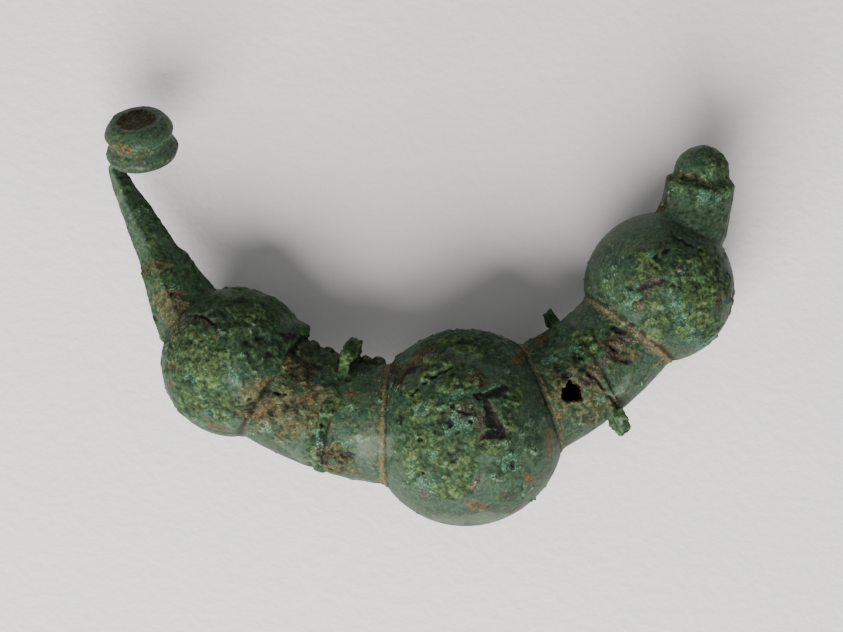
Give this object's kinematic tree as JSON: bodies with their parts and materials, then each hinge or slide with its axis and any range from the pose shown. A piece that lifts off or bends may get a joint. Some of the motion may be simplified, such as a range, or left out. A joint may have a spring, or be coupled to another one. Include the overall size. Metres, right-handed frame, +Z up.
{
  "type": "fibula brooch",
  "caption": "Arched bronze brooch with balls and thin discs along its hollow bow, a ridged stem foot with a spool knob, and a broken head, lying on its side.",
  "frame": {"origin": "on the surface that the brooch lies on, under the middle of its box", "axes": "+Z up out of the surface that it lies on, +X along the brooch from foot to head, +Y from the bow towards the open side between foot and head"},
  "size_m": [0.0726, 0.0484, 0.0225],
  "materials": {
    "bronze": "matt green patina with crusts, seams of tan dirt and dark pits"
  },
  "bodies": {
    "root": {"fibula": "bronze"}
  },
  "joints": []
}
